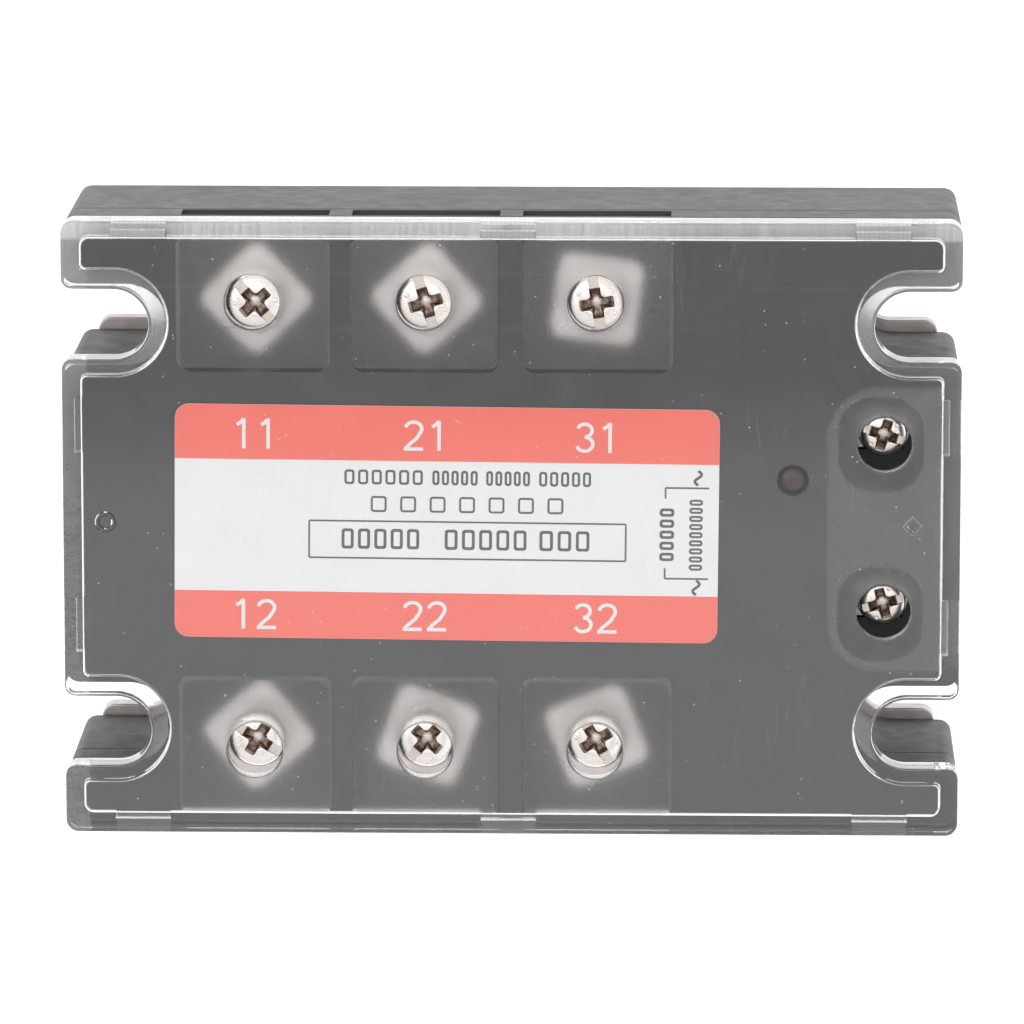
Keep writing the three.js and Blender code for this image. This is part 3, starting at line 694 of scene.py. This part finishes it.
def upper_housing():
    flush = slotted(HALF_X, HALF_Y, CASE_SLOT, CORNER, CORNER)
    stepped = slotted(HALF_X - STEP, HALF_Y - STEP, wider(COVER_SLOT, STEP), 1, 0.6)
    add = [prism(stepped, STEP_TOP - 0.5, DECK_TOP)]
    add += rib_blocks(RIB_HALF, STEP + 0.5, STEP - RIB_PROUD, RIB_LOW, RIB_HIGH)
    cut = [block(-HALF_X + 2 * CASE_WALL, INPUT_WELL[0] - 2, 2 - BAY_INNER, BAY_INNER - 2,
                 UPPER_BOTTOM - 1, DECK_TOP - 2)]
    for side in ROWS.values():
        for x in PHASE_X:
            front, back = (BAY_INNER, HALF_Y + 5) if side > 0 else (-HALF_Y - 5, -BAY_INNER)
            bay = rectangle(x - BAY_HALF, x + BAY_HALF, front, back, BAY_CORNER, 8)
            cut.append(prism(bay, UPPER_BOTTOM - 1, DECK_TOP + 1))
    left, right, half = INPUT_WELL
    entry_half, entry_top = INPUT_ENTRY
    for side in INPUTS.values():
        y = side * INPUT_Y
        well = rectangle(left, right, y - half, y + half, WELL_CORNER, 10)
        cut.append(prism(well, UPPER_BOTTOM - 1, DECK_TOP + 1))
        cut.append(block(right - 1, HALF_X + 1, y - entry_half, y + entry_half, UPPER_BOTTOM - 1, entry_top))
    cut.append(prism(circle(LAMP.x, LAMP.y, LAMP_HOLE_RADIUS), UPPER_BOTTOM, DECK_TOP + 1))
    bars = []
    for side in ROWS.values():
        for x in PHASE_X:
            for low, high in ((UPPER_BOTTOM, BAY_SILL_TOP), (BAY_LINTEL_BOTTOM, STEP_TOP)):
                bars.append(side_block(side, x - BAY_HALF - 0.5, x + BAY_HALF + 0.5, HALF_Y - CASE_WALL,
                                       HALF_Y, low, high))
    mesh = shaped(shaped(prism(flush, UPPER_BOTTOM, STEP_TOP), add, cut), add=bars)
    soften(piece("upper_case", mesh, BLACK, "housing", "black_plastic", ["upper_housing"]), 0.25)


def clear_cover():
    def outer(inset):
        return slotted(HALF_X, HALF_Y, COVER_SLOT, CORNER, 1.2, inset)

    def cavity(inset):
        half_x, half_y = HALF_X - COVER_WALL, HALF_Y - COVER_WALL
        return slotted(half_x, half_y, wider(COVER_SLOT, COVER_WALL), 1.1, 0.7, inset)

    skin = Skin()
    outer_low, outer_top = skin.walls(edge_levels(outer, SKIRT_BOTTOM, COVER_TOP, 0.15, 0.5, 5))
    cavity_top_edge = 0.28
    levels = [(cavity(-0.12), SKIRT_BOTTOM), (cavity(0), SKIRT_BOTTOM + 0.12)]
    for i in range(6):
        angle = math.pi / 2 * i / 5
        levels.append((cavity(cavity_top_edge * (1 - math.cos(angle))),
                       COVER_UNDERSIDE - cavity_top_edge * (1 - math.sin(angle))))
    cavity_low, cavity_top = skin.walls(levels)
    holes = [(x, side * OUTPUT_HOLE_Y) for side in ROWS.values() for x in PHASE_X]
    holes += [(INPUT_X, side * INPUT_HOLE_Y) for side in INPUTS.values()]
    hole_lows, hole_tops = [], []
    for x, y in holes:
        at = (x + COVER_SHIFT[0], y + COVER_SHIFT[1])

        def hole(inset, at=at):
            return circle(*at, HOLE_RADIUS + inset, 64)

        low, top = skin.walls(edge_levels(hole, COVER_UNDERSIDE, COVER_TOP, 0.12, 0.28, 3))
        hole_lows.append(low)
        hole_tops.append(top)
    marks = []
    for at, radius, steps, depth in ((ROUND_MARK, 1.25, 32, 0.18), (DIAMOND_MARK, 1.15, 4, 0.15)):
        levels = [(circle(*at, radius, steps), COVER_UNDERSIDE),
                  (circle(*at, radius - 0.12, steps), COVER_UNDERSIDE + depth),
                  (circle(*at, radius - 0.42, steps), COVER_UNDERSIDE + depth),
                  (circle(*at, radius - 0.54, steps), COVER_UNDERSIDE)]
        rim, core = skin.walls(levels)
        skin.lid(core)
        marks.append(rim)
    skin.cap(outer_low, cavity_low)
    skin.cap(outer_top, *hole_tops)
    skin.cap(cavity_top, *hole_lows, *marks)
    grooves = rib_blocks(RIB_HALF + 0.25, COVER_WALL + 0.5, COVER_WALL - RIB_PROUD,
                         SKIRT_BOTTOM - 1, RIB_HIGH + 0.25)
    mesh = shaped(skin.done(), cut=grooves)
    soften(piece("clear_tray", mesh, CLEAR, "cover", "clear_plastic", ["clear_cover"]), 0)


# ---------------------------------------------------------------- label and lamp


def stuck_on():
    """The label's slight turn about its own middle."""
    middle = (LABEL_LOW + LABEL_HIGH) / 2 * MM
    return Matrix.Translation(middle) @ Matrix.Rotation(LABEL_TURN, 4, "Z") @ Matrix.Translation(-middle)


def graphic(name, shapes, material, low, high):
    """Several flat shapes of print as one piece. A shape is one outline, or a pair with a hole inside."""
    skin = Skin()
    for i, shape in enumerate(shapes):
        outlines = shape if isinstance(shape[0][0], tuple) else (shape,)
        top = high - INK_STEP * (i % 3)
        rings = [skin.walls([(outline, low), (outline, top)]) for outline in outlines]
        skin.cap(*[first for first, last in rings])
        skin.cap(*[last for first, last in rings])
    made = piece(name, skin.done(), material, "housing", "label_film", place=stuck_on())
    made.data.shade_flat()
    return made


def stroke(points, width):
    """The outline of a line of that width through the points."""
    left, right = [], []
    for i, point in enumerate(points):
        here = Vector(point)
        before = Vector(points[max(i - 1, 0)])
        after = Vector(points[min(i + 1, len(points) - 1)])
        along = (after - before).normalized()
        across = Vector((-along.y, along.x)) * width / 2
        left.append(tuple(here + across))
        right.append(tuple(here - across))
    return right + left[::-1]


def bar(left, right, y, height):
    return rectangle(left, right, y - height / 2, y + height / 2, height * 0.3, 3)


def upright_bar(x, low, high, width):
    return rectangle(x - width / 2, x + width / 2, low, high, width * 0.3, 3)


def wave(x, y, length, height, width):
    """One upright period of a wave."""
    points = []
    for i in range(13):
        along = (i / 12 - 0.5) * length
        across = math.sin(i / 12 * 2 * math.pi) * height / 2
        points.append((x - across, y + along))
    return stroke(points, width)


def cells_along(start, end, count, middle, height, line, upright=False, share=0.74):
    """A row of small outlined boxes, which stand where a word of print is."""
    made = []
    pitch = (end - start) / count
    width = pitch * share
    for i in range(count):
        left = start + pitch * i
        box = (left, left + width, middle - height / 2, middle + height / 2)
        if upright:
            box = (box[2], box[3], box[0], box[1])
        outer = rectangle(*box, 0.35, 3)
        inner = rectangle(box[0] + line, box[1] - line, box[2] + line, box[3] - line, 0.15, 3)
        made.append((outer, inner))
    return made


def arc(x, y, half_x, half_y, start, end, steps=14):
    """Points on part of an ellipse, from one angle to another in degrees."""
    angles = [math.radians(start + (end - start) * i / steps) for i in range(steps + 1)]
    return [(x + half_x * math.cos(a), y + half_y * math.sin(a)) for a in angles]


DIGIT_LINES = {
    "1": [[(-0.70, 1.05), (-0.25, 1.30), (0.10, 1.72)], [(0.12, 1.78), (0.12, -1.78)]],
    "2": [arc(0, 0.80, 0.95, 0.80, 170, -22) + [(0.35, -0.35), (-0.55, -1.10), (-0.98, -1.62)],
          [(-1.15, -1.60), (1.10, -1.60)]],
    "3": [arc(0, 0.84, 0.86, 0.76, 160, -90), arc(0, -0.77, 0.96, 0.84, 90, -160)],
}


def label_number(name, text, x, y, low, high):
    """Pale numerals drawn with strokes of one width."""
    pitch, width = 2.85, 0.42
    shapes = []
    for i, digit in enumerate(text):
        shift = x + (i - (len(text) - 1) / 2) * pitch
        for line in DIGIT_LINES[digit]:
            shapes.append(stroke([(shift + px, y + py) for px, py in line], width))
    graphic(name, shapes, LABEL_PALE_INK, low, high)


def label():
    low, high = LABEL_LOW.z, LABEL_HIGH.z
    middle = (LABEL_LOW + LABEL_HIGH) / 2
    left, right = middle.x - LABEL_LENGTH / 2, middle.x + LABEL_LENGTH / 2
    front, back = middle.y - LABEL_WIDTH / 2, middle.y + LABEL_WIDTH / 2
    radius = 1.7
    sheet_top, band_top, ink_top = high - 0.04, high - 0.02, high

    def sheet(inset):
        return rectangle(left + inset, right - inset, front + inset, back - inset, radius - inset, 8)

    made = piece("label_sheet", plate(sheet, low, sheet_top, 0.03), LABEL_WHITE, "housing", "label_film",
                 ["label"], stuck_on())
    soften(made, 0)
    upper_edge, lower_edge = 7.9, -7.8
    trim = 0.02
    top_band = rounded([(left + trim, upper_edge, SMALLEST, 1), (right - trim, upper_edge, SMALLEST, 1),
                        (right - trim, back - trim, radius, 8), (left + trim, back - trim, radius, 8)])
    low_band = rounded([(left + trim, front + trim, radius, 8), (right - trim, front + trim, radius, 8),
                        (right - trim, lower_edge, SMALLEST, 1), (left + trim, lower_edge, SMALLEST, 1)])
    graphic("label_bands", [top_band, low_band], LABEL_CORAL, sheet_top, band_top)

    # Generic marks: rows of boxes stand where the lines of print are, with a frame, brackets and waves
    shapes = []
    for start, end, count in ((-19.6, -10.0, 6), (-9.3, -3.7, 5), (-3.0, 2.4, 5), (3.2, 9.6, 5)):
        shapes += cells_along(start, end, count, 5.95, 1.75, 0.27)
    shapes += cells_along(-16.5, 7.65, 7, 2.75, 1.9, 0.24, share=0.54)
    frame_left, frame_right, frame_front, frame_back, line = -23.7, 13.4, -3.7, 0.7, 0.2
    shapes += [bar(frame_left, frame_right, frame_front, line),
               bar(frame_left, frame_right, frame_back, line),
               upright_bar(frame_left, frame_front, frame_back, line),
               upright_bar(frame_right, frame_front, frame_back, line)]
    for start, end, count in ((-19.9, -10.3, 5), (-7.8, 2.3, 5), (3.3, 9.7, 3)):
        shapes += cells_along(start, end, count, -1.4, 2.4, 0.34)
    bracket_left, bracket_right = 18.0, 23.1
    for outer, inner in ((5.1, 3.85), (-5.7, -4.45)):
        shapes.append(stroke([(bracket_right, outer), (bracket_left, outer)], line))
        shapes.append(stroke([(bracket_left, outer), (bracket_left, inner)], line))
    shapes += cells_along(-3.6, 3.0, 5, 18.2, 1.7, 0.32, upright=True)
    shapes += cells_along(-4.7, 4.0, 9, 21.6, 1.6, 0.25, upright=True)
    shapes.append(wave(21.8, 6.3, 1.7, 0.8, 0.32))
    shapes.append(wave(21.7, -6.75, 1.7, 0.8, 0.32))
    graphic("label_marks", shapes, LABEL_INK, sheet_top, band_top)

    for row, y, digit in (("top", 10.95, 1), ("bottom", -10.55, 2)):
        for phase, x in zip(PHASES, PHASE_X):
            label_number(f"label_number_{row}_{phase}", f"{phase}{digit}", x, y, band_top, ink_top)


def lathe(profile, steps=48, x=0.0, y=0.0):
    """A turned solid through (radius, height) points that start and end on the axis."""
    skin = Skin()
    inner = profile[1:-1]
    first, last = skin.walls([(circle(x, y, radius, steps), z) for radius, z in inner])
    for ring, height in ((first, profile[0][1]), (last, profile[-1][1])):
        if abs(height - ring[0].co.z / MM) < 1e-6:
            skin.lid(ring)
            continue
        tip = skin.mesh.verts.new(Vector((x, y, height)) * MM)
        for i, corner in enumerate(ring):
            skin.mesh.faces.new((corner, ring[(i + 1) % len(ring)], tip))
    return skin.done()


def status_lamp():
    radius, low, top = 1.5, low_mm("status_led").z, high_mm("status_led").z
    body_low = 25.5
    profile = [(0, body_low), (1.75, body_low), (1.75, body_low + 0.8), (radius, body_low + 0.9),
               (radius, top - 0.75)]
    for i in range(1, 8):
        angle = math.pi / 2 * i / 8
        profile.append((radius * math.cos(angle), top - 0.75 + 0.75 * math.sin(angle)))
    profile.append((0, top))
    leads = [block(LAMP.x + side * 1.27 - 0.25, LAMP.x + side * 1.27 + 0.25, LAMP.y - 0.25, LAMP.y + 0.25,
                   low, body_low + 0.3) for side in (-1, 1)]
    mesh = shaped(lathe(profile, 40, LAMP.x, LAMP.y), add=leads)
    soften(piece("lamp_body", mesh, LENS, "housing", "lamp_lens", ["status_led"]), 0)


# ---------------------------------------------------------------- clamp screws


def thread_radius(angle, z, pitch, major, depth):
    """Radius of a right-hand thread at one angle and height."""
    turn = (z / pitch - angle / (2 * math.pi)) % 1
    rise = min(max((abs(2 * turn - 1) - 0.12) / 0.76, 0), 1)
    return major - depth * rise


def screw_blank(head_radius, head_height, shank_radius, shank_length, pitch, steps=48):
    """A threaded pan head blank, with its head's top at height 0 on the Z axis."""
    skin = Skin()
    angles = [2 * math.pi * i / steps for i in range(steps)]
    base = -head_height
    tip = base - shank_length
    depth = pitch * 0.5
    rings = [skin.ring(circle(0, 0, shank_radius * 0.62, steps), tip)]
    rows = int(shank_length / (pitch / 8))
    run_out = base - 0.5
    for i in range(1, rows):
        z = tip + shank_length * i / rows
        limit = shank_radius * (0.62 + 0.38 * min(1, (z - tip) / 0.9))
        if z > run_out:
            break
        points = []
        for angle in angles:
            radius = min(limit, thread_radius(angle, z, pitch, shank_radius, depth))
            points.append((radius * math.cos(angle), radius * math.sin(angle)))
        rings.append(skin.ring(points, z))
    for radius, z in ((shank_radius, run_out + 0.1), (shank_radius, base)):
        rings.append(skin.ring(circle(0, 0, radius, steps), z))
    side = base + head_height * 0.52
    edge = 0.12
    rings.append(skin.ring(circle(0, 0, head_radius - edge, steps), base))
    rings.append(skin.ring(circle(0, 0, head_radius, steps), base + edge))
    for i in range(11):
        angle = math.pi / 2 * i / 11
        radius = head_radius * math.cos(angle) ** 0.42
        rings.append(skin.ring(circle(0, 0, radius, steps), side - side * math.sin(angle)))
    for low, high in zip(rings, rings[1:]):
        skin.join(low, high)
    skin.lid(rings[0])
    top = skin.mesh.verts.new((0, 0, 0))
    last = rings[-1]
    for i, corner in enumerate(last):
        skin.mesh.faces.new((corner, last[(i + 1) % steps], top))
    return skin.done()


def cross_outline(reach, half, fillet):
    """A plus sign with rounded ends and rounded inner corners."""
    corners = []
    for quarter in range(4):
        c, s = round(math.cos(quarter * math.pi / 2)), round(math.sin(quarter * math.pi / 2))
        for x, y, radius in ((reach, -half, half * 0.3), (reach, half, half * 0.3), (half, half, fillet)):
            corners.append((x * c - y * s, x * s + y * c, radius, 4))
    return rounded(corners)


def screw_mesh(head_radius, head_height, shank_radius, shank_length, pitch, recess):
    """A pan head screw with a full slot, a tapered cross and two punch marks. recess sizes the cross."""
    size = head_radius / 3.5
    levels = []
    for share, z in ((1.04, 0.3), (1.0, -0.15), (0.84, -0.7), (0.62, -1.25), (0.3, -1.5)):
        outline = cross_outline(2.02 * recess * share, 0.66 * recess * (0.35 + 0.65 * share),
                                0.46 * recess * share)
        levels.append((outline, z * recess))
    skin = Skin()
    top_ring, low_ring = skin.walls(levels)
    skin.lid(top_ring)
    tip = skin.mesh.verts.new((0, 0, -1.25 * recess * MM))
    for i, corner in enumerate(low_ring):
        skin.mesh.faces.new((corner, low_ring[(i + 1) % len(low_ring)], tip))
    cross = skin.done()
    half = SLOT_HALF * size
    reach = head_radius + 1
    slot = block(-reach, reach, -half, half, -0.5 * size, 1)
    cuts = [cross, slot]
    for side in (-1, 1):
        punch = [(0, -0.28 * size), (0.18 * size, -0.36 * size), (0.40 * size, 0.06), (0, 0.06)]
        cuts.append(lathe(punch, 24, side * 1.45 * size, side * 1.95 * size))
    blank = screw_blank(head_radius, head_height, shank_radius, shank_length, pitch)
    return shaped(blank, cut=cuts)


def split_ring(inner, outer, thickness, rise):
    """A split spring washer that climbs from one end to the other, centred on height 0."""
    section = rectangle(inner, outer, -thickness / 2, thickness / 2, 0.14, 3)
    gap = 0.2
    steps = 60
    skin = Skin()
    rings = []
    for i in range(steps + 1):
        part = i / steps
        angle = gap / 2 + part * (2 * math.pi - gap)
        lift = rise * (part - 0.5)
        ring = [(r * math.cos(angle), r * math.sin(angle), z + lift) for r, z in section]
        rings.append(skin.ring(ring))
    for low, high in zip(rings, rings[1:]):
        skin.join(low, high)
    skin.lid(rings[0])
    skin.lid(rings[-1])
    return skin.done()


def clamp_mesh(size, thickness, corner, hole_radius):
    """A pressed plate with rounded corners and edges and a hole, centred on height 0."""
    half = size / 2

    def outline(inset):
        return rectangle(-half + inset, half - inset, -half + inset, half - inset, corner - inset, 8)

    def hole(inset):
        return circle(0, 0, hole_radius + inset, 40)

    levels = edge_levels(hole, -thickness / 2, thickness / 2, 0.1, 0.1, 2)
    return plate(outline, -thickness / 2, thickness / 2, min(0.3, thickness / 3), [levels])


def terminal_set(kind, names, clamp_size, clamp_corner, clamp_hole, ring_radii, head, shank, pitch, recess):
    """Clamp plate, spring washer and screw of each terminal of one kind."""
    sample = names[0]
    clamp_box = low_mm(f"{kind}_clamp_{sample}"), high_mm(f"{kind}_clamp_{sample}")
    ring_box = low_mm(f"{kind}_spring_washer_{sample}"), high_mm(f"{kind}_spring_washer_{sample}")
    screw_box = low_mm(f"{kind}_screw_{sample}"), high_mm(f"{kind}_screw_{sample}")
    clamp_thickness = clamp_box[1].z - clamp_box[0].z
    ring_thickness = ring_box[1].z - ring_box[0].z
    clamp = clamp_mesh(clamp_size, clamp_thickness, clamp_corner, clamp_hole)
    ring = split_ring(*ring_radii, ring_thickness - 0.05, 0.22)
    screw = screw_mesh(*head, *shank, pitch, recess)
    for name in names:
        at = middle_mm(f"{kind}_clamp_{name}")
        clamp_turn, screw_turn = (math.radians(a) for a in TERMINAL_TURNS[f"{kind}_{name}"])
        rows = (
            ("plate", clamp, "clamp", NICKEL, "nickel_plate", f"{kind}_clamp_set_{name}", clamp_turn,
             (clamp_box[0].z + clamp_box[1].z) / 2),
            ("ring", ring, "spring_washer", SPRING, "spring_steel", f"{kind}_clamp_set_{name}",
             screw_turn - math.pi / 3, (ring_box[0].z + ring_box[1].z) / 2),
            ("bolt", screw, "screw", NICKEL_SCREW, "nickel_plate", f"{kind}_screw_{name}_body", screw_turn,
             screw_box[1].z),
        )
        for short, mesh, node, material, slot, body, turn, z in rows:
            place = Matrix.Translation(Vector((at.x, at.y, z)) * MM) @ Matrix.Rotation(turn, 4, "Z")
            made = piece(f"{kind}_{short}_{name}", mesh.copy(), material, body, slot,
                         [f"{kind}_{node}_{name}"], place)
            soften(made, 0.05 if short == "bolt" else 0)


def terminals():
    outputs = [f"{row}_{i}" for row in ROWS for i in PHASES]
    terminal_set("output", outputs, 10.3, 1.6, 2.3, (2.2, 3.9), (3.5, 2.6), (1.9, 10), 0.7, 1.0)
    terminal_set("input", list(INPUTS), 6.1, 3.04, 1.8, (1.6, 2.75), (2.7, 2.0), (1.4, 6), 0.5, 0.92)


# ---------------------------------------------------------------- inside the case


def finish_node(name, material, width):
    """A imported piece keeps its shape, with its edges rounded and a finish of its own."""
    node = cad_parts[name]
    for slot in node.material_slots:
        slot.material = material
    weld = node.modifiers.new("weld", "WELD")
    weld.merge_threshold = 0.00001
    flat = node.modifiers.new("flat", "DECIMATE")
    flat.decimate_type = "DISSOLVE"
    flat.angle_limit = math.radians(1)
    soften(node, width)


def inside():
    board = moulded("board_green", (0.030, 0.16, 0.065), (0.35, 0.5), 0.6, 0.01, (0.04, 0.22, 0.09))
    chip = moulded("chip_black", (0.022, 0.022, 0.024), (0.45, 0.6), 0.15)
    tile = moulded("ceramic", (0.80, 0.78, 0.73), (0.5, 0.65), 0.2)
    blue = moulded("resistor_blue", (0.16, 0.36, 0.48), (0.3, 0.45), 0.3)
    red = moulded("capacitor_red", (0.26, 0.045, 0.03), (0.2, 0.35), 0.6)
    yellow = moulded("capacitor_yellow", (0.72, 0.46, 0.06), (0.3, 0.45), 0.4)
    sleeve = moulded("capacitor_sleeve", (0.022, 0.045, 0.11), (0.2, 0.32), 0.5)
    finish_node("circuit_board", board, 0.1)
    for i in PHASES:
        finish_node(f"optocoupler_{i}", chip, 0.2)
        finish_node(f"thyristor_pair_{i}", tile, 0.1)
        finish_node(f"snubber_resistor_{i}", blue, 0.3)
        finish_node(f"snubber_capacitor_{i}", red, 0.5)
    finish_node("dropper_capacitor", yellow, 0.4)
    finish_node("filter_capacitor", sleeve, 0.4)
    finish_node("bridge_rectifier", chip, 0.2)
    for row in ROWS:
        for i in PHASES:
            finish_node(f"output_terminal_{row}_{i}", TINNED, 0.15)
    for name in INPUTS:
        finish_node(f"input_terminal_{name}", TINNED, 0.15)
    for number in range(1, 5):
        finish_node(f"base_screw_{number}", SPRING, 0.1)


# ---------------------------------------------------------------- stage


def stage():
    scene = bpy.context.scene
    scene.view_settings.view_transform = "Standard"
    camera_data = bpy.data.cameras.new("camera")
    camera_data.lens = CAMERA_LENS
    camera_data.sensor_width = CAMERA_SENSOR
    camera = bpy.data.objects.new("camera", camera_data)
    scene.collection.objects.link(camera)
    placed = Matrix.Translation(Vector(CAMERA_PLACE) * MM)
    for axis, angle in CAMERA_TURN:
        placed = placed @ Matrix.Rotation(angle, 4, axis)
    camera.matrix_world = placed
    scene.camera = camera

    floor_mesh = bpy.data.meshes.new("floor")
    reach = 3.0
    drop = -0.00005
    corners = [(-reach, -reach, drop), (reach, -reach, drop), (reach, reach, drop), (-reach, reach, drop)]
    floor_mesh.from_pydata(corners, [], [(0, 1, 2, 3)])
    floor = bpy.data.objects.new("floor", floor_mesh)
    scene.collection.objects.link(floor)
    paper = Paint("paper", Base_Color=(0.45, 0.45, 0.45), Roughness=0.9, Specular_IOR_Level=0.1,
                  Emission_Color=(1.0, 1.0, 1.0), Emission_Strength=1.0)
    floor_mesh.materials.append(paper.material)

    world = bpy.data.worlds.new("studio")
    world.use_nodes = True
    scene.world = world
    sky = Graph(world.node_tree)
    background = sky.tree.nodes["Background"]
    # A soft box hangs overhead, and a small dark patch beside it shows in the far third of the cover
    direction = sky.node("ShaderNodeTexCoord").outputs["Generated"]
    parts = sky.node("ShaderNodeSeparateXYZ", {0: direction}).outputs

    def ramp(axis, low, high):
        return sky.spread(parts[axis], low, high, easing="SMOOTHSTEP")

    dark = sky.times(ramp("Y", -0.180, -0.166), ramp("Y", -0.10, -0.13))
    dark = sky.times(dark, sky.times(ramp("X", -0.24, -0.18), ramp("X", 0.24, 0.18)))
    dark = sky.times(dark, ramp("Z", 0.5, 0.6))
    box = sky.times(ramp("Z", 0.84, 0.88), ramp("Y", -0.10, -0.07))
    radiance = sky.math("ADD", SKY, sky.times(box, SKY_BOX))
    radiance = sky.math("SUBTRACT", radiance, sky.times(dark, SKY_DARK))
    background.inputs["Color"].default_value = (1, 1, 1, 1)
    sky.tree.links.new(radiance, background.inputs["Strength"])

    for name, place, size, watts in (
        ("key", (-0.55, 0.35, 0.9), 0.6, 1.2),
        ("fill", (0.7, -0.5, 0.8), 0.8, 0.7),
    ):
        data = bpy.data.lights.new(name, "AREA")
        data.energy = watts
        data.size = size
        lamp = bpy.data.objects.new(name, data)
        scene.collection.objects.link(lamp)
        lamp.location = place
        lamp.rotation_euler = (-Vector(place)).to_track_quat("-Z", "Y").to_euler()


stage()
base_plate()
lower_housing()
upper_housing()
clear_cover()
label()
status_lamp()
terminals()
inside()
